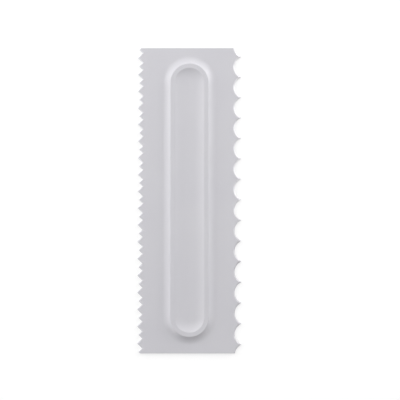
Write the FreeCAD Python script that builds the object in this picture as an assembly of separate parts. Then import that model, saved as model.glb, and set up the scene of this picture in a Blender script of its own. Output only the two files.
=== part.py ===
"""Cake comb: one moulded plastic plate with a raised grip, all sizes in millimetres.

The comb lies on its back. X runs across it, from the pointed teeth (-X) to the
scallops (+X), Y runs along it, and Z points up out of the grip. The origin is the
centre of the comb's outline, on its back face.
"""
import FreeCAD
import Part

import math
import os

from FreeCAD import Vector

# Plate
comb_length = 225.0
comb_width = 76.5
plate_thickness = 2.0
# Height of the upright edge that is left below each bevel
edge_land = 1.5

# Pointed teeth, large and small in turn, with one angle between their flanks
tooth_pair_pitch = 12.38
small_tooth_base = 5.2
tooth_angle = 90.0
tooth_bevel = 0.5

# Scallops, round hollows that meet in cusps
scallop_pitch = 15.15
scallop_depth = 5.05
scallop_bevel = 0.9

# Grip, a raised rim round a shallow dish
grip_length = 201.0
grip_width = 27.9
rim_width = 3.15
rim_height = 2.5
flank_run = 6.0
dish_floor_width = 4.6
dish_depth = 1.6
rim_edge_radius = 0.35

# How far a cutting shape runs past the face that it cuts
overrun = 1.0

half_length = comb_length / 2
half_tooth_angle = math.radians(tooth_angle / 2)
large_tooth_base = tooth_pair_pitch - small_tooth_base
large_tooth_height = large_tooth_base / 2 / math.tan(half_tooth_angle)
tooth_root_x = large_tooth_height - comb_width / 2

# The bevels' height in the plate, and how many times wider they are cut with the overrun
bevel_height = plate_thickness - edge_land
bevel_reach = (bevel_height + overrun) / bevel_height

# Three points of each round hollow, its two cusps and its root, set its radius
scallop_radius = ((scallop_pitch / 2) ** 2 + scallop_depth ** 2) / (2 * scallop_depth)
scallop_root_x = comb_width / 2 - scallop_depth
scallop_centre_x = scallop_root_x + scallop_radius

# Radii from the middle of the grip's rounded end, and heights above the back face
grip_straight = grip_length - grip_width
rim_outer = grip_width / 2
rim_inner = rim_outer - rim_width
flank_foot = rim_outer + flank_run
rim_top = plate_thickness + rim_height
dish_floor = rim_top - dish_depth
floor_edge = dish_floor_width / 2
dish_run = rim_inner - floor_edge


def arc_radius(run, rise):
    """Radius of an arc that starts level and climbs by rise over a distance of run."""
    return (run ** 2 + rise ** 2) / (2 * rise)


flank_radius = arc_radius(flank_run, rim_height)
flank_centre_z = plate_thickness + flank_radius
dish_radius = arc_radius(dish_run, dish_depth)
dish_centre_z = dish_floor + dish_radius


def plate():
    """The flat plate, with its two long sides still uncut."""
    left = -comb_width / 2 - overrun
    width = scallop_centre_x - left
    return Part.makeBox(width, comb_length, plate_thickness, Vector(left, -half_length, 0))


def notch_corners(root_shift, z):
    """Corners of a V that opens towards -X, with its point moved in by root_shift."""
    point_x = tooth_root_x + root_shift
    outer_x = -comb_width / 2 - 2 * overrun
    half_opening = (point_x - outer_x) * math.tan(half_tooth_angle)
    return [
        Vector(point_x, 0, z),
        Vector(outer_x, half_opening, z),
        Vector(outer_x, -half_opening, z),
    ]


def flat_face(corners):
    """A flat face with the given corners."""
    return Part.Face(Part.makePolygon(corners + corners[:1]))


def block_between(lower, upper):
    """A flat-sided solid from one outline up to another with as many corners."""
    faces = [flat_face(lower), flat_face(upper)]
    for first in range(len(lower)):
        second = (first + 1) % len(lower)
        faces.append(flat_face([lower[first], lower[second], upper[second], upper[first]]))
    return Part.Solid(Part.Shell(faces))


def tooth_notch():
    """The space between two teeth: an upright V with a wider, bevelled V above it."""
    root_shift = tooth_bevel / math.sin(half_tooth_angle) * bevel_reach
    narrow = notch_corners(0, edge_land)
    wide = notch_corners(root_shift, plate_thickness + overrun)
    return [block_between(notch_corners(0, -overrun), narrow), block_between(narrow, wide)]


def scallop_hollow():
    """The space of one scallop: an upright cylinder with a cone's bevel above it."""
    foot = Vector(scallop_centre_x, 0, -overrun)
    bevel_foot = Vector(scallop_centre_x, 0, edge_land)
    wide_radius = scallop_radius + scallop_bevel * bevel_reach
    return [
        Part.makeCylinder(scallop_radius, overrun + edge_land, foot),
        Part.makeCone(scallop_radius, wide_radius, bevel_height + overrun, bevel_foot),
    ]


def copies(shapes, places):
    """Copies of the shapes, moved along Y to each of the places."""
    moved = []
    for place in places:
        for shape in shapes:
            moved.append(shape.translated(Vector(0, place, 0)))
    return moved


def tooth_notch_places():
    """Middles of the notches: one on each side of every small tooth."""
    steps = math.ceil(half_length / tooth_pair_pitch) + 1
    places = []
    for step in range(-steps, steps + 1):
        small_tooth_y = step * tooth_pair_pitch
        places.append(small_tooth_y - small_tooth_base / 2)
        places.append(small_tooth_y + small_tooth_base / 2)
    return places


def scallop_places():
    """Middles of the scallops, with a cusp at the middle of the comb."""
    steps = math.ceil(half_length / scallop_pitch) + 1
    return [(step + 0.5) * scallop_pitch for step in range(-steps, steps)]


def arc(points):
    """An arc through three points."""
    return Part.Arc(*points).toShape()


def line(start, end):
    """A straight edge."""
    return Part.LineSegment(start, end).toShape()


def rising_arc(foot_x, centre_z, radius, swing, side):
    """An arc that leaves its foot level and climbs through the angle swing towards side."""
    points = []
    for angle in (0, swing / 2, swing):
        x = foot_x + side * radius * math.sin(angle)
        z = centre_z - radius * math.cos(angle)
        points.append(Vector(x, 0, z))
    return arc(points)


def rim_corner(foot_x, radius, swing, side):
    """The rounded corner between the rim's flat top and the arc that climbs to it."""
    corner_x = foot_x + side * (radius + rim_edge_radius) * math.sin(swing)
    corner_z = rim_top - rim_edge_radius
    points = []
    for angle in (swing, swing / 2, 0):
        x = corner_x - side * rim_edge_radius * math.sin(angle)
        z = corner_z + rim_edge_radius * math.cos(angle)
        points.append(Vector(x, 0, z))
    return arc(points)


def front_edges(foot_x, centre_z, radius, side):
    """One front slope of the rim: its arc and the rounded corner above it."""
    swing = math.acos((centre_z - rim_top + rim_edge_radius) / (radius + rim_edge_radius))
    return rising_arc(foot_x, centre_z, radius, swing, side), rim_corner(foot_x, radius, swing, side)


def back_edge(foot_x, centre_z, radius, side):
    """The slope behind a front slope, one wall away from it, up to the groove's roof."""
    back_radius = radius + plate_thickness
    swing = math.acos((centre_z - rim_top + plate_thickness) / back_radius)
    return rising_arc(foot_x, centre_z, back_radius, swing, side)


def joined(edges):
    """A closed face from edges in order, with straight edges over the gaps between them."""
    outline = []
    for edge, following in zip(edges, edges[1:] + edges[:1]):
        outline.append(edge)
        start = edge.lastVertex(True).Point
        end = following.firstVertex(True).Point
        if start.distanceToPoint(end) > Part.Precision.confusion():
            outline.append(line(start, end))
    return Part.Face(Part.Wire(outline))


def rim_section():
    """Half of the grip's wall across its length: the back follows the front."""
    dish, dish_corner = front_edges(floor_edge, dish_centre_z, dish_radius, 1)
    flank, flank_corner = front_edges(flank_foot, flank_centre_z, flank_radius, -1)
    back_dish = back_edge(floor_edge, dish_centre_z, dish_radius, 1)
    back_flank = back_edge(flank_foot, flank_centre_z, flank_radius, -1)
    middle = line(Vector(0, 0, dish_floor - plate_thickness), Vector(0, 0, dish_floor))
    return joined(
        [
            middle,
            dish,
            dish_corner,
            flank_corner.reversed(),
            flank.reversed(),
            back_flank,
            back_dish.reversed(),
        ]
    )


def follow_stadium(section):
    """A half section carried along the grip's two straight sides and round its ends."""
    end_y = grip_straight / 2
    side = section.translated(Vector(0, -end_y, 0)).extrude(Vector(0, grip_straight, 0))
    upper_end = section.translated(Vector(0, end_y, 0))
    upper_end = upper_end.revolve(Vector(0, end_y, 0), Vector(0, 0, 1), 180)
    other_side = side.mirror(Vector(0, 0, 0), Vector(1, 0, 0))
    lower_end = upper_end.mirror(Vector(0, 0, 0), Vector(0, 1, 0))
    return [side, other_side, upper_end, lower_end]


def stadium(radius, height):
    """A flat stadium-shaped block, as thick as height, round the grip's middle line."""
    corners = [Vector(0, 0, 0), Vector(radius, 0, 0), Vector(radius, 0, height), Vector(0, 0, height)]
    pieces = follow_stadium(Part.Face(Part.makePolygon(corners + corners[:1])))
    return pieces[0].fuse(pieces[1:]).removeSplitter()


def comb():
    """The whole comb: toothed plate, its middle replaced by the raised grip."""
    cutters = copies(tooth_notch(), tooth_notch_places())
    cutters += copies(scallop_hollow(), scallop_places())
    toothed_plate = plate().cut(cutters)
    window = stadium(flank_foot, plate_thickness)
    grip = follow_stadium(rim_section())
    return toothed_plate.cut(window).fuse(grip).removeSplitter()


os.makedirs("parts", exist_ok=True)
body = comb()
body.exportStep("parts/comb.step")
print("solids", len(body.Solids), "valid", body.isValid(), "volume", round(body.Volume, 1))
print("box", body.optimalBoundingBox())
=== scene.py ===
"""Looks of a moulded plastic cake comb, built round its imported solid.

The comb lies on its back with the grip up: X runs from the pointed teeth to the
scallops, Y along the comb, Z up. The piece made here keeps the solid's form and adds
what a mould leaves: rounded edges, corners and tips, and the plastic's satin grain.
"""
import logging
import math
from dataclasses import dataclass, field
from enum import Enum
from typing import Any, Iterable, Sequence

import bpy
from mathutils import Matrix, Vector
from mathutils.geometry import tessellate_polygon


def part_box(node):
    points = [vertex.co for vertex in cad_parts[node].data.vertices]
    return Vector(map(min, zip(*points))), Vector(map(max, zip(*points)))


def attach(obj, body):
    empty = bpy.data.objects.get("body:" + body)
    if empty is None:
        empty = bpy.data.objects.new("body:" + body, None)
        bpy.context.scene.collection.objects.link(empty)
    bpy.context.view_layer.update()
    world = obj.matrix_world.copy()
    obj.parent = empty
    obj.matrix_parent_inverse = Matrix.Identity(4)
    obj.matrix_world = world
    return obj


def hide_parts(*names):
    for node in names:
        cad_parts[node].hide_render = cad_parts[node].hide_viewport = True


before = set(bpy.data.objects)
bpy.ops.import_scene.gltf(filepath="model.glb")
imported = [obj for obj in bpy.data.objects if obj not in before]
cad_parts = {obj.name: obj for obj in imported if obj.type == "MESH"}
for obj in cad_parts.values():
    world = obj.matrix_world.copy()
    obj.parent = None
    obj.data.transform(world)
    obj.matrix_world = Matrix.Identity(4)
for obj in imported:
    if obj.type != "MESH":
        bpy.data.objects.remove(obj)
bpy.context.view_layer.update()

log = logging.getLogger("cake_comb")

MM = 0.001
BLACK = (0.0, 0.0, 0.0, 1.0)
WHITE = (1.0, 1.0, 1.0, 1.0)
# Numbers of the colour sockets of a Mix node, because it has several of each name
MIX_FIRST, MIX_SECOND, MIX_RESULT = 6, 7, 2

Point2 = tuple[float, float]
Colour = tuple[float, float, float, float]
Stops = tuple[tuple[float, float], ...]


class End(Enum):
    """The comb's two short ends, and the direction along Y in which each one lies."""

    FOOT = -1
    HEAD = 1


class Face(Enum):
    """The comb's two faces."""

    FRONT = "front"
    BACK = "back"


class Climb(Enum):
    """Ways in which a slope of the grip climbs, seen from the grip's middle line."""

    INWARD = -1
    OUTWARD = 1


class Axis(Enum):
    """Coordinates of a vector, by the numbers of the outputs that carry them."""

    ALONG = 1
    UP = 2


class Ray(Enum):
    """Rays that see a surface, by the names of the Light Path outputs."""

    CAMERA = "Is Camera Ray"
    GLOSSY = "Is Glossy Ray"
    TRANSMISSION = "Is Transmission Ray"


class Value:
    """A number socket in a node tree, with arithmetic that adds Math nodes."""

    def __init__(self, graph: "Graph", socket: bpy.types.NodeSocket) -> None:
        """Keeps the tree and the socket.

        Args:
            graph: The tree that holds the socket.
            socket: An output socket that carries a number.
        """
        self.graph = graph
        self.socket = socket

    def _math(
        self, operation: str, first: "Value | float", second: "Value | float"
    ) -> "Value":
        """Adds one Math node.

        Args:
            operation: The node's operation.
            first: The first operand.
            second: The second operand.

        Returns:
            The node's result.
        """
        node = self.graph.node(
            "ShaderNodeMath", {"operation": operation}, {0: first, 1: second}
        )
        return Value(self.graph, node.outputs[0])

    def __add__(self, other: "Value | float") -> "Value":
        """Sum of this value and another."""
        return self._math("ADD", self, other)

    def __radd__(self, other: float) -> "Value":
        """Sum of a number and this value."""
        return self._math("ADD", other, self)

    def __sub__(self, other: "Value | float") -> "Value":
        """Difference of this value and another."""
        return self._math("SUBTRACT", self, other)

    def __rsub__(self, other: float) -> "Value":
        """Difference of a number and this value."""
        return self._math("SUBTRACT", other, self)

    def __mul__(self, other: "Value | float") -> "Value":
        """Product of this value and another."""
        return self._math("MULTIPLY", self, other)

    def __rmul__(self, other: float) -> "Value":
        """Product of a number and this value."""
        return self._math("MULTIPLY", other, self)

    def __gt__(self, other: "Value | float") -> "Value":
        """1 where this value is the larger one, else 0."""
        return self._math("GREATER_THAN", self, other)

    def __lt__(self, other: "Value | float") -> "Value":
        """1 where this value is the smaller one, else 0."""
        return self._math("LESS_THAN", self, other)


class Graph:
    """A node tree that is being filled."""

    def __init__(self, tree: bpy.types.NodeTree) -> None:
        """Starts from an empty tree.

        Args:
            tree: The tree of a material or of the world.
        """
        self.tree = tree
        tree.nodes.clear()

    def node(
        self, kind: str, settings: dict[str, Any], inputs: dict[str | int, Any]
    ) -> bpy.types.Node:
        """Adds a node, sets its settings and then its sockets.

        Args:
            kind: The node's type.
            settings: The node's own properties; "stops" are a ramp's stops.
            inputs: Numbers, colours, sockets or Values, by the input's name or number.

        Returns:
            The new node.
        """
        node = self.tree.nodes.new(kind)
        for name, setting in settings.items():
            if name == "stops":
                self._set_stops(node.color_ramp, setting)
            else:
                setattr(node, name, setting)
        for name, given in inputs.items():
            if isinstance(given, Value):
                given = given.socket
            if isinstance(given, bpy.types.NodeSocket):
                self.tree.links.new(given, node.inputs[name])
            else:
                node.inputs[name].default_value = given
        return node

    @staticmethod
    def _set_stops(ramp: bpy.types.ColorRamp, stops: Stops) -> None:
        """Sets the stops of a ramp.

        Args:
            ramp: The ramp, with its two first stops.
            stops: Two or more positions with their grey levels, in rising order.
        """
        for position, _ in stops[2:]:
            ramp.elements.new(position)
        for element, (position, level) in zip(ramp.elements, stops):
            element.position = position
            element.color = (level, level, level, 1.0)

    def value(self, node: bpy.types.Node, output: str | int = 0) -> Value:
        """Wraps one of a node's outputs."""
        return Value(self, node.outputs[output])

    def place(self) -> bpy.types.NodeSocket:
        """Coordinates of a point on its object, in metres."""
        return self.node("ShaderNodeTexCoord", {}, {}).outputs["Object"]

    def along(self, vector: bpy.types.NodeSocket, axis: Axis) -> Value:
        """Takes one coordinate of a vector."""
        return self.value(self.node("ShaderNodeSeparateXYZ", {}, {0: vector}), axis.value)

    def ramp(self, share: Value, stops: Stops) -> Value:
        """Bends a value from 0 to 1 by stops.

        Args:
            share: The value.
            stops: Positions with the levels that hold there, in rising order.

        Returns:
            The level, straight from one stop to the next.
        """
        return self.value(self.node("ShaderNodeValToRGB", {"stops": stops}, {0: share}))

    def noise(self, where: bpy.types.NodeSocket, size: float, detail: float) -> Value:
        """Adds a noise texture.

        Args:
            where: The coordinates, in metres.
            size: The size of the noise's features, in metres.
            detail: How many finer octaves it has.

        Returns:
            The noise's value, about 0.5 on average.
        """
        node = self.node(
            "ShaderNodeTexNoise",
            {"noise_dimensions": "3D"},
            {"Vector": where, "Scale": 1 / size, "Detail": detail},
        )
        return self.value(node, "Fac")

    def mix_colour(
        self,
        factor: Value,
        first: Colour | bpy.types.NodeSocket,
        second: Colour | bpy.types.NodeSocket,
    ) -> bpy.types.NodeSocket:
        """Mixes two colours.

        Args:
            factor: 0 for the first colour and 1 for the second.
            first: The first colour.
            second: The second colour.

        Returns:
            The mixed colour's socket.
        """
        node = self.node(
            "ShaderNodeMix",
            {"data_type": "RGBA"},
            {"Factor": factor, MIX_FIRST: first, MIX_SECOND: second},
        )
        return node.outputs[MIX_RESULT]

    def bump(self, height: Value) -> bpy.types.NodeSocket:
        """Tilts the normal by a relief.

        Args:
            height: The relief's height, in metres.

        Returns:
            The tilted normal's socket.
        """
        node = self.node(
            "ShaderNodeBump", {}, {"Strength": 1.0, "Distance": 1.0, "Height": height}
        )
        return node.outputs[0]

    def seen(self) -> Value:
        """Adds the test for rays by which a camera, gloss or glass sees a surface.

        Returns:
            1 for such a ray, and 0 for one that carries light to a matt surface.
        """
        paths = self.node("ShaderNodeLightPath", {}, {})
        unseen = 1.0 - self.value(paths, Ray.CAMERA.value)
        for ray in (Ray.GLOSSY, Ray.TRANSMISSION):
            unseen = unseen * (1.0 - self.value(paths, ray.value))
        return 1.0 - unseen

    def surface(self, settings: dict[str, Any], inputs: dict[str | int, Any]) -> None:
        """Adds the material's shader and its output.

        Args:
            settings: The shader's own properties.
            inputs: The shader's sockets, as in node.
        """
        shader = self.node("ShaderNodeBsdfPrincipled", settings, inputs)
        self.node("ShaderNodeOutputMaterial", {}, {"Surface": shader.outputs[0]})


def new_material(name: str) -> tuple[bpy.types.Material, Graph]:
    """Adds a material.

    Args:
        name: Its name.

    Returns:
        The material, and its tree with no nodes yet.
    """
    made = bpy.data.materials.new(name)
    made.use_nodes = True
    return made, Graph(made.node_tree)


def linear(red: int, green: int, blue: int) -> Colour:
    """Takes a colour from a screen's levels to linear light, by the sRGB curve.

    Args:
        red: Red from 0 to 255, as a screen shows it.
        green: Green, in the same way.
        blue: Blue, in the same way.

    Returns:
        The colour with full opacity, as Blender's sockets take it.
    """
    channels = []
    for shown in (red, green, blue):
        share = shown / 255
        channels.append(share / 12.92 if share <= 0.04045 else ((share + 0.055) / 1.055) ** 2.4)
    return (channels[0], channels[1], channels[2], 1.0)


@dataclass(frozen=True)
class MouldedPlastic:
    """Satin white plastic from a fine-grained mould, with a painted highlight on its bevels.

    The stops of across_bevel run from the bevels' foot to their top, and those of
    along_comb from the comb's foot to its head.
    """

    pale: Colour = linear(203, 202, 206)
    deep: Colour = linear(197, 196, 202)
    # Colour of the painted highlight on the bevels
    painted_highlight: Colour = linear(234, 233, 237)
    across_bevel: Stops = ((0.02, 0.0), (0.12, 1.0), (0.75, 1.0), (0.96, 0.0))
    along_comb: Stops = ((0.36, 0.1), (0.53, 1.0))
    least_upward: float = 0.2
    cloud_size: float = 45 * MM
    grain_size: float = 0.45 * MM
    grain_height: float = 0.016 * MM
    sink_size: float = 28 * MM
    sink_height: float = 0.02 * MM
    roughness: float = 0.38
    roughness_spread: float = 0.12
    refraction: float = 1.49
    glow: float = 0.08
    glow_depth: float = 1.2 * MM

    def _painted_bevel_highlight(
        self, graph: Graph, place: bpy.types.NodeSocket, plate: "Plate"
    ) -> Value:
        """Finds the bevels, which get a painted highlight.

        Args:
            graph: The material's tree.
            place: The coordinates, in metres.
            plate: The comb's plate.

        Returns:
            The painted highlight's share: up to 1 on the bevels of the toothed edges, most at
            the head, and 0 elsewhere.
        """
        bevel_height = plate.thickness - plate.land
        up_bevel = (graph.along(place, Axis.UP) - plate.land) * (1 / bevel_height)
        from_foot = 0.5 + graph.along(place, Axis.ALONG) * (1 / plate.length)
        normal = graph.node("ShaderNodeNewGeometry", {}, {}).outputs["Normal"]
        on_front = graph.along(normal, Axis.UP) > self.least_upward
        share = graph.ramp(up_bevel, self.across_bevel) * graph.ramp(from_foot, self.along_comb)
        return share * on_front

    def material(self, name: str, plate: "Plate") -> bpy.types.Material:
        """Builds the material.

        Args:
            name: The material's name.
            plate: The comb's plate, whose bevels get a painted highlight.

        Returns:
            A material whose colour, sheen and grain vary over the surface, with a painted
            highlight on the bevels.
        """
        made, graph = new_material(name)
        place = graph.place()

        clouds = graph.noise(place, self.cloud_size, detail=3)
        solid = graph.mix_colour(clouds, self.deep, self.pale)
        # Painted highlight: the bevels are painted paler, most at the head and fading towards
        # the foot
        colour = graph.mix_colour(self._painted_bevel_highlight(graph, place, plate), solid, self.painted_highlight)

        fine = graph.noise(place, self.grain_size, detail=2)
        sinks = graph.noise(place, self.sink_size, detail=1)
        # The two noises add up to 1 on average, so the roughness keeps its own average
        roughness = self.roughness + self.roughness_spread * (sinks + fine - 1.0)
        height = self.grain_height * fine + self.sink_height * sinks
        graph.surface(
            {"subsurface_method": "BURLEY"},
            {
                "Base Color": colour,
                "Roughness": roughness,
                "IOR": self.refraction,
                "Subsurface Weight": self.glow,
                "Subsurface Radius": (1.0, 1.0, 1.0),
                "Subsurface Scale": self.glow_depth,
                "Normal": graph.bump(height),
            },
        )
        return made


@dataclass(frozen=True)
class StudioPaper:
    """Matt paper under the comb.

    A camera, gloss and glass see it white, by a glow that gives matt surfaces no light,
    while the paper's own grey takes the comb's shadow.
    """

    colour: Colour = (0.3, 0.3, 0.3, 1.0)
    own_white: float = 0.72
    roughness: float = 0.9
    fibre_size: float = 0.8 * MM
    fibre_height: float = 0.01 * MM

    def material(self, name: str) -> bpy.types.Material:
        """Builds the material.

        Args:
            name: The material's name.

        Returns:
            A rough material with a faint fibre.
        """
        made, graph = new_material(name)
        fibre = graph.noise(graph.place(), self.fibre_size, detail=2)
        graph.surface(
            {},
            {
                "Base Color": self.colour,
                "Roughness": self.roughness,
                "Emission Color": graph.mix_colour(graph.seen(), BLACK, WHITE),
                "Emission Strength": self.own_white,
                "Normal": graph.bump(self.fibre_height * fibre),
            },
        )
        return made


@dataclass
class MeshDraft:
    """Points and faces of a mesh that is being put together from closed loops."""

    points: list[Vector] = field(default_factory=list)
    faces: list[tuple[int, ...]] = field(default_factory=list)
    flat_face_weight: int = 60

    def loop(self, outline: Iterable[Point2], height: float) -> list[int]:
        """Adds a closed level loop.

        Args:
            outline: The loop's points in plan.
            height: Its height.

        Returns:
            The numbers of its points.
        """
        first = len(self.points)
        self.points.extend(Vector((x, y, height)) for x, y in outline)
        return list(range(first, len(self.points)))

    def bridge(self, lower: Sequence[int], upper: Sequence[int]) -> None:
        """Joins two loops of as many points with a band of four-sided faces.

        Args:
            lower: One loop.
            upper: The other loop, with its points in the same order.
        """
        for index in range(len(lower)):
            after = (index + 1) % len(lower)
            self.faces.append((lower[index], lower[after], upper[after], upper[index]))

    def bridge_all(self, loops: Sequence[Sequence[int]]) -> None:
        """Joins each loop with the next one."""
        for lower, upper in zip(loops, loops[1:]):
            self.bridge(lower, upper)

    def cap(self, loop: Sequence[int]) -> None:
        """Closes a loop with one flat face."""
        self.faces.append(tuple(loop))

    def flat_ring(self, outer: Sequence[int], inner: Sequence[int]) -> None:
        """Fills the flat space between a loop and a loop inside it.

        Args:
            outer: The loop outside.
            inner: The loop inside.
        """
        numbers = list(outer) + list(inner)
        rings = [[self.points[index] for index in ring] for ring in (outer, inner)]
        for corners in tessellate_polygon(rings):
            self.faces.append(tuple(numbers[corner] for corner in corners))

    def finished(self, name: str, finish: bpy.types.Material) -> bpy.types.Object:
        """Makes the object.

        Args:
            name: The piece's name.
            finish: Its material.

        Returns:
            A smooth piece whose flat faces stay flat.
        """
        mesh = bpy.data.meshes.new(name)
        mesh.from_pydata(self.points, [], self.faces)
        mesh.validate()
        mesh.materials.append(finish)
        mesh.shade_smooth()
        piece = bpy.data.objects.new(name, mesh)
        bpy.context.scene.collection.objects.link(piece)
        weighted = piece.modifiers.new("flat_faces_first", "WEIGHTED_NORMAL")
        weighted.weight = self.flat_face_weight
        weighted.mode = "FACE_AREA"
        return piece


def rounded_corner(
    before: Vector, corner: Vector, after: Vector, radius: float, steps: int
) -> list[Vector]:
    """Points of an arc that rounds one corner of a line.

    Args:
        before: A point on the stretch that comes in.
        corner: The sharp corner.
        after: A point on the stretch that goes out.
        radius: The arc's radius.
        steps: How many straight steps the arc has.

    Returns:
        The arc's points, in the line's order.
    """
    back = (before - corner).normalized()
    on = (after - corner).normalized()
    half = back.angle(on) / 2
    centre = corner + (back + on).normalized() * radius / math.sin(half)
    start = corner + back * radius / math.tan(half) - centre
    end = corner + on * radius / math.tan(half) - centre
    turns = [start.slerp(end, step / steps).normalized() for step in range(steps + 1)]
    return [centre + turn * radius for turn in turns]


@dataclass(frozen=True)
class EdgeShape:
    """Section through the plate's rim: an upright land, a bevel, and rounded edges."""

    thickness: float
    land: float
    bevel: float
    rounding: float

    def inset(self, height: float) -> float:
        """How far the plate's side lies inside its outline.

        Args:
            height: Height above the back face.

        Returns:
            The distance, square to the outline.
        """
        slope = math.atan2(self.thickness - self.land, self.bevel)
        low_turn = self.rounding * math.tan((math.pi / 2 - slope) / 2)
        arc_foot = self.land - low_turn
        arc_top = self.land + low_turn * math.sin(slope)
        top_foot = self.thickness - self.rounding * (1 - math.cos(slope))
        if height < self.rounding:
            return self._bulge(self.rounding - height)
        if height <= arc_foot:
            return 0.0
        if height <= arc_top:
            return self._bulge(height - arc_foot)
        if height <= top_foot:
            return (height - self.land) / math.tan(slope)
        centre = self.bevel + self.rounding * math.tan(slope / 2)
        rise = height - (self.thickness - self.rounding)
        return centre - self.rounding + self._bulge(rise)

    def _bulge(self, rise: float) -> float:
        """Inset of the rounding at a height above or below its widest point."""
        return self.rounding - math.sqrt(max(self.rounding**2 - rise**2, 0.0))


@dataclass(frozen=True)
class Plate:
    """The comb's flat plate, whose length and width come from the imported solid's box."""

    length: float
    width: float
    thickness: float = 2.0 * MM
    land: float = 1.5 * MM
    rounding: float = 0.15 * MM
    corner_radius: float = 0.3 * MM
    rounding_steps: int = 5

    @property
    def half_length(self) -> float:
        """Distance from the middle to each short end."""
        return self.length / 2

    def edge_shape(self, bevel: float) -> EdgeShape:
        """Section of an edge of the plate with the given bevel."""
        return EdgeShape(self.thickness, self.land, bevel, self.rounding)

    def heights(self) -> list[float]:
        """Heights at which the plate's side is drawn.

        Returns:
            Heights above the back face, from the lowest up, close together at the edges.
        """
        shares = [step / self.rounding_steps for step in range(self.rounding_steps + 1)]
        turns = [math.pi / 2 * share for share in shares]
        low = [self.rounding * (1 - math.cos(turn)) for turn in turns]
        middle = [self.land + self.rounding * (share - 0.5) for share in shares]
        high = [self.thickness - self.rounding * (1 - math.sin(turn)) for turn in turns]
        return low + middle + high


@dataclass(frozen=True)
class PointedTeeth:
    """The row of large and small pointed teeth along one long side."""

    plate: Plate
    pair_pitch: float = 12.38 * MM
    small_base: float = 5.2 * MM
    angle: float = math.radians(90)
    bevel: float = 0.5 * MM
    tip_radius: float = 0.2 * MM
    arc_steps: int = 4

    @property
    def large_base(self) -> float:
        """Base of the large teeth, which fill the space between the small ones."""
        return self.pair_pitch - self.small_base

    @property
    def root_x(self) -> float:
        """Where the notches between the teeth end."""
        return self._height(self.large_base) - self.plate.width / 2

    def _height(self, base: float) -> float:
        """Height of a tooth on the given base."""
        return base / 2 / math.tan(self.angle / 2)

    def _corners(self) -> list[Vector]:
        """Sharp points of the row before it is cut to the comb's length.

        Returns:
            Roots and tips, from past the foot to past the head.
        """
        pairs = math.ceil(self.plate.half_length / self.pair_pitch)
        large_tip = self.root_x - self._height(self.large_base)
        small_tip = self.root_x - self._height(self.small_base)
        corners = []
        for pair in range(-pairs, pairs + 1):
            middle = pair * self.pair_pitch
            corners.append(Vector((self.root_x, middle - self.small_base / 2)))
            corners.append(Vector((small_tip, middle)))
            corners.append(Vector((self.root_x, middle + self.small_base / 2)))
            corners.append(Vector((large_tip, middle + self.pair_pitch / 2)))
        return corners

    def outline(self, height: float, end_inset: float) -> list[Point2]:
        """The row in plan at one height.

        Args:
            height: Height above the back face.
            end_inset: How far the short ends lie inside the plate's length there.

        Returns:
            Points from the foot's end to the head's end.
        """
        limit = self.plate.half_length - end_inset
        inward = self.plate.edge_shape(self.bevel).inset(height) / math.sin(self.angle / 2)
        shift = Vector((inward, 0))
        corners = self._corners()
        row = self._end_corner(End.FOOT, limit, shift)
        for before, corner, after in zip(corners, corners[1:], corners[2:]):
            if abs(corner.y) < limit:
                rounded = rounded_corner(
                    before, corner, after, self.tip_radius, self.arc_steps
                )
                row += [shift + point for point in rounded]
        row += self._end_corner(End.HEAD, limit, shift)
        return [tuple(point) for point in row]

    def _end_corner(self, end: End, limit: float, shift: Vector) -> list[Vector]:
        """The rounded corner between the last tooth, a small one, and a short end.

        Args:
            end: Which short end.
            limit: Distance of that end from the comb's middle.
            shift: How far the row lies inward there.

        Returns:
            Points in the order of rising Y.
        """
        middle = round(limit / self.pair_pitch) * self.pair_pitch
        tip = Vector((self.root_x - self._height(self.small_base), end.value * middle))
        past_tip = (limit - middle) / math.tan(self.angle / 2)
        corner = Vector((tip.x + past_tip, end.value * limit)) + shift
        inside = Vector((0, corner.y))
        points = rounded_corner(
            tip + shift, corner, inside, self.plate.corner_radius, self.arc_steps
        )
        return points if end is End.HEAD else points[::-1]


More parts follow.
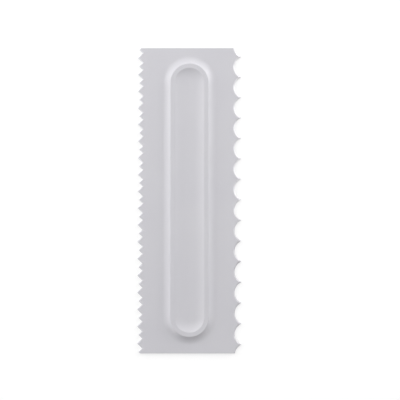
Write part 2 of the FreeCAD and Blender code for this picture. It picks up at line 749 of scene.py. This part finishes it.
@dataclass(frozen=True)
class Scallops:
    """The row of round hollows along the other long side."""

    plate: Plate
    pitch: float = 15.15 * MM
    depth: float = 5.05 * MM
    bevel: float = 0.9 * MM
    cusp_radius: float = 0.2 * MM
    arc_steps: int = 28
    cusp_steps: int = 5

    @property
    def radius(self) -> float:
        """Radius of the hollows at the back face."""
        return ((self.pitch / 2) ** 2 + self.depth**2) / (2 * self.depth)

    @property
    def centre_x(self) -> float:
        """Where the hollows' centres lie."""
        return self.plate.width / 2 - self.depth + self.radius

    def _arc(
        self, centre: Vector, radius: float, start: float, end: float, steps: int
    ) -> list[Point2]:
        """Points on an arc.

        Args:
            centre: The arc's centre.
            radius: Its radius.
            start: Its first angle from +X.
            end: Its last angle.
            steps: How many straight steps it has.

        Returns:
            The points from start to end.
        """
        points = []
        for step in range(steps + 1):
            angle = start + (end - start) * step / steps
            points.append(
                (centre.x + radius * math.cos(angle), centre.y + radius * math.sin(angle))
            )
        return points

    def outline(self, height: float, end_inset: float) -> list[Point2]:
        """The row in plan at one height.

        Args:
            height: Height above the back face.
            end_inset: How far the short ends lie inside the plate's length there.

        Returns:
            Points from the foot's end to the head's end.
        """
        limit = self.plate.half_length - end_inset
        radius = self.radius + self.plate.edge_shape(self.bevel).inset(height)
        per_half = math.ceil(self.plate.half_length / self.pitch)
        middles = [(index + 0.5) * self.pitch for index in range(-per_half, per_half)]
        cusp_reach = math.asin(self.pitch / 2 / (radius + self.cusp_radius))
        corner = self.plate.corner_radius
        end_reach = math.asin((limit - corner - middles[-1]) / (radius + corner))

        first = Vector((self.centre_x, middles[0]))
        last = Vector((self.centre_x, middles[-1]))
        points = self._end_corner(End.FOOT, first, radius, end_reach)
        for middle in middles:
            centre = Vector((self.centre_x, middle))
            before = end_reach if centre == first else cusp_reach
            after = end_reach if centre == last else cusp_reach
            points += self._arc(
                centre, radius, math.pi + before, math.pi - after, self.arc_steps
            )
            if centre != last:
                points += self._cusp(centre, radius, cusp_reach)
        return points + self._end_corner(End.HEAD, last, radius, end_reach)

    def _cusp(self, below: Vector, radius: float, reach: float) -> list[Point2]:
        """The rounded cusp between one hollow and the next.

        Args:
            below: Centre of the hollow on the foot's side.
            radius: Radius of the hollows at this height.
            reach: Half of the angle that each hollow's arc covers.

        Returns:
            The points inside the cusp's arc, without its two ends.
        """
        from_centre = radius + self.cusp_radius
        centre = Vector(
            (below.x - from_centre * math.cos(reach), below.y + self.pitch / 2)
        )
        return self._arc(centre, self.cusp_radius, -reach, reach, self.cusp_steps)[1:-1]

    def _end_corner(
        self, end: End, hollow: Vector, radius: float, reach: float
    ) -> list[Point2]:
        """The rounded corner between the last hollow and a short end.

        Args:
            end: Which short end.
            hollow: Centre of the last hollow.
            radius: Its radius at this height.
            reach: Angle, from -X, at which the hollow's arc ends.

        Returns:
            The corner's points in the order of rising Y, without the one on the hollow.
        """
        size = self.plate.corner_radius
        from_centre = radius + size
        centre = Vector(
            (
                hollow.x - from_centre * math.cos(reach),
                hollow.y + end.value * from_centre * math.sin(reach),
            )
        )
        points = self._arc(
            centre, size, -end.value * reach, end.value * math.pi / 2, self.cusp_steps
        )[1:]
        return points if end is End.HEAD else points[::-1]


@dataclass(frozen=True)
class Slope:
    """A hollow arc in the grip's section, which starts level and climbs to the rim.

    Distances count from the grip's middle line, and heights from the back face.
    """

    foot: float
    low: float
    run: float
    rise: float
    climb: Climb
    arc_steps: int = 26
    corner_steps: int = 6

    def points(self, wall: float, corner: float) -> list[Point2]:
        """Draws the slope.

        Args:
            wall: How far behind the front it lies, or 0 for the front itself.
            corner: Radius of the rounded corner above the arc, or 0 for none.

        Returns:
            Distances and heights, from the foot up.
        """
        front_radius = (self.run**2 + self.rise**2) / (2 * self.rise)
        radius = front_radius + wall
        centre = (self.foot, self.low + front_radius)
        swing = math.acos((front_radius - self.rise + corner + wall) / (radius + corner))
        points = []
        for step in range(self.arc_steps + 1):
            points.append(self._swung(centre, radius, swing * step / self.arc_steps))
        if corner:
            reach = self.climb.value * (radius + corner) * math.sin(swing)
            middle = (self.foot + reach, self.low + self.rise - corner)
            for step in range(1, self.corner_steps + 1):
                angle = swing * (1 - step / self.corner_steps)
                points.append(self._swung(middle, -corner, angle))
        return points

    def _swung(self, centre: Point2, radius: float, angle: float) -> Point2:
        """A point on an arc, swung from straight below the arc's centre.

        Args:
            centre: The arc's centre.
            radius: Its radius, negative where the swing starts straight above.
            angle: The swing, in the direction of the climb for a positive radius.

        Returns:
            The point's distance and height.
        """
        across = self.climb.value * radius * math.sin(angle)
        return (centre[0] + across, centre[1] - radius * math.cos(angle))


@dataclass(frozen=True)
class Grip:
    """The raised rim round a shallow dish, which the hand holds."""

    plate: Plate
    top: float
    length: float = 201.0 * MM
    width: float = 27.9 * MM
    rim_width: float = 3.15 * MM
    flank_run: float = 6.0 * MM
    floor_width: float = 4.6 * MM
    dish_depth: float = 1.6 * MM
    edge_radius: float = 0.35 * MM
    end_steps: int = 72

    @property
    def rim_outer(self) -> float:
        """Distance from the grip's middle line to the rim's outer edge."""
        return self.width / 2

    @property
    def flank(self) -> Slope:
        """The slope outside the rim.

        Returns:
            The slope, which climbs from the plate.
        """
        return Slope(
            foot=self.rim_outer + self.flank_run,
            low=self.plate.thickness,
            run=self.flank_run,
            rise=self.top - self.plate.thickness,
            climb=Climb.INWARD,
        )

    @property
    def dish_side(self) -> Slope:
        """The slope inside the rim.

        Returns:
            The slope, which climbs from the dish's flat floor.
        """
        floor_edge = self.floor_width / 2
        return Slope(
            foot=floor_edge,
            low=self.top - self.dish_depth,
            run=self.rim_outer - self.rim_width - floor_edge,
            rise=self.dish_depth,
            climb=Climb.OUTWARD,
        )

    def stadium(self, radius: float) -> list[Point2]:
        """A stadium round the grip's middle line.

        Args:
            radius: Its distance from that line.

        Returns:
            The points, anticlockwise from above.
        """
        half_straight = (self.length - self.width) / 2
        points = []
        for end, first in ((End.HEAD, 0.0), (End.FOOT, math.pi)):
            for step in range(self.end_steps + 1):
                angle = first + math.pi * step / self.end_steps
                x = radius * math.cos(angle)
                y = end.value * half_straight + radius * math.sin(angle)
                points.append((x, y))
        return points

    def section(self, face: Face) -> list[Point2]:
        """Section of the grip from the plate to the dish's floor.

        Args:
            face: The front, or the back, one wall behind it and with sharp corners.

        Returns:
            Distances from the grip's middle line, and heights.
        """
        wall, corner = 0.0, self.edge_radius
        if face is Face.BACK:
            wall, corner = self.plate.thickness, 0.0
        return self.flank.points(wall, corner) + self.dish_side.points(wall, corner)[::-1]

    def loops(self, draft: MeshDraft, face: Face) -> list[list[int]]:
        """Adds the loops of one face of the grip to a mesh.

        Args:
            draft: The mesh.
            face: Which face.

        Returns:
            The loops, from the plate to the dish's floor.
        """
        return [
            draft.loop(self.stadium(distance), height)
            for distance, height in self.section(face)
        ]


@dataclass(frozen=True)
class Comb:
    """The whole comb, one moulded piece."""

    node: str = "comb"
    material_slot: str = "comb_plastic"

    def _side(self, draft: MeshDraft, plate: Plate) -> list[list[int]]:
        """Adds the loops of the plate's toothed side to a mesh.

        Args:
            draft: The mesh.
            plate: The plate.

        Returns:
            The loops, from the back face to the front.
        """
        teeth = PointedTeeth(plate)
        scallops = Scallops(plate)
        short_ends = plate.edge_shape(bevel=0.0)
        loops = []
        for height in plate.heights():
            end_inset = short_ends.inset(height)
            left = teeth.outline(height, end_inset)
            right = scallops.outline(height, end_inset)
            loops.append(draft.loop(left[::-1] + right, height))
        return loops

    def build(self, finish: MouldedPlastic) -> bpy.types.Object:
        """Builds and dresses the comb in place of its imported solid.

        Args:
            finish: The plastic.

        Returns:
            The piece.
        """
        low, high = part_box(self.node)
        plate = Plate(length=high.y - low.y, width=high.x - low.x)
        grip = Grip(plate, top=high.z)
        draft = MeshDraft()
        side = self._side(draft, plate)
        front = grip.loops(draft, Face.FRONT)
        back = grip.loops(draft, Face.BACK)

        draft.bridge_all(side)
        draft.flat_ring(side[-1], front[0])
        draft.bridge_all(front)
        draft.cap(front[-1])
        draft.flat_ring(side[0][::-1], back[0][::-1])
        draft.bridge_all([loop[::-1] for loop in back])
        draft.cap(back[-1][::-1])

        piece = draft.finished("moulded_comb", finish.material("satin_comb_plastic", plate))
        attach(piece, "root")
        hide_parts(self.node)
        return piece


@dataclass(frozen=True)
class SoftBox:
    """A square soft lamp that faces the comb's middle.

    Its azimuth counts in degrees from +X towards +Y, its elevation in degrees from the
    floor, and its power in watts.
    """

    name: str
    azimuth: float
    elevation: float
    power: float
    distance: float = 1.5
    size: float = 1.3

    def build(self) -> bpy.types.Object:
        """Sets the lamp up.

        Returns:
            The lamp.
        """
        lamp = bpy.data.lights.new(self.name, "AREA")
        lamp.shape = "SQUARE"
        lamp.size = self.size
        lamp.energy = self.power
        turn = math.radians(self.azimuth)
        rise = math.radians(self.elevation)
        level = math.cos(rise)
        outward = Vector((level * math.cos(turn), level * math.sin(turn), math.sin(rise)))
        stand = bpy.data.objects.new(self.name, lamp)
        stand.location = outward * self.distance
        stand.rotation_euler = (-outward).to_track_quat("-Z", "Y").to_euler()
        bpy.context.scene.collection.objects.link(stand)
        return stand


@dataclass(frozen=True)
class Studio:
    """White floor, white surroundings, soft lamps and the camera.

    The view's width is measured at the camera's aim, and the sensor's width is in
    millimetres, as Blender takes it.
    """

    floor_size: float = 6.0
    floor_gap: float = 0.02 * MM
    camera_distance: float = 1.0
    camera_lean: float = math.radians(3.96)
    view_width: float = 294.06 * MM
    sensor_width: float = 36.0
    aim: tuple[float, float, float] = (7.75 * MM, -0.35 * MM, 2.0 * MM)
    boxes: tuple[SoftBox, ...] = (
        SoftBox("key_box", 150, 45, 12.9),
        SoftBox("right_box", 30, 45, 3.7),
        SoftBox("top_box", 90, 88, 1.6),
        SoftBox("low_right_box", 30, 12, 22.2),
        SoftBox("low_head_box", 60, 12, 8.0),
        SoftBox("low_left_box", 150, 12, 16.3),
        SoftBox("low_foot_left_box", 210, 12, 7.2),
        SoftBox("low_foot_right_box", 300, 12, 5.0),
    )

    def build(self) -> list[bpy.types.Object]:
        """Sets up everything round the comb.

        Returns:
            The floor, the lamps and the camera.
        """
        floor = self._floor(StudioPaper())
        self._surroundings()
        lamps = [box.build() for box in self.boxes]
        bpy.context.scene.view_settings.view_transform = "Standard"
        return [floor, *lamps, self._camera()]

    def _floor(self, paper: StudioPaper) -> bpy.types.Object:
        """Lays the floor just below the comb's back face.

        Args:
            paper: The floor's finish.

        Returns:
            The floor.
        """
        half = self.floor_size / 2
        draft = MeshDraft()
        draft.cap(draft.loop([(-half, -half), (half, -half), (half, half), (-half, half)], 0.0))
        floor = draft.finished("studio_floor", paper.material("studio_paper"))
        floor.location.z = -self.floor_gap
        return floor

    def _surroundings(self) -> None:
        """Makes the world white to the camera, gloss and glass, and dark as light."""
        world = bpy.data.worlds.new("studio_surroundings")
        bpy.context.scene.world = world
        world.use_nodes = True
        graph = Graph(world.node_tree)
        background = graph.node(
            "ShaderNodeBackground", {}, {"Color": WHITE, "Strength": graph.seen()}
        )
        graph.node("ShaderNodeOutputWorld", {}, {"Surface": background.outputs[0]})

    def _camera(self) -> bpy.types.Object:
        """Looks down on the comb, from straight above but for a lean towards its foot.

        Returns:
            The camera.
        """
        lens = bpy.data.cameras.new("camera")
        lens.sensor_width = self.sensor_width
        lens.lens = self.sensor_width * self.camera_distance / self.view_width
        camera = bpy.data.objects.new("camera", lens)
        back = Vector((0.0, -math.sin(self.camera_lean), math.cos(self.camera_lean)))
        camera.location = Vector(self.aim) + back * self.camera_distance
        camera.rotation_euler = (self.camera_lean, 0.0, 0.0)
        bpy.context.scene.collection.objects.link(camera)
        bpy.context.scene.camera = camera
        return camera


def main() -> None:
    """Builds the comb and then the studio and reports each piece."""
    logging.basicConfig(level=logging.INFO, format="%(name)s: %(message)s")
    comb = Comb().build(MouldedPlastic())
    log.info("%s: %d faces", comb.name, len(comb.data.polygons))
    for piece in Studio().build():
        log.info("%s: in place", piece.name)


if __name__ == "__main__":
    main()
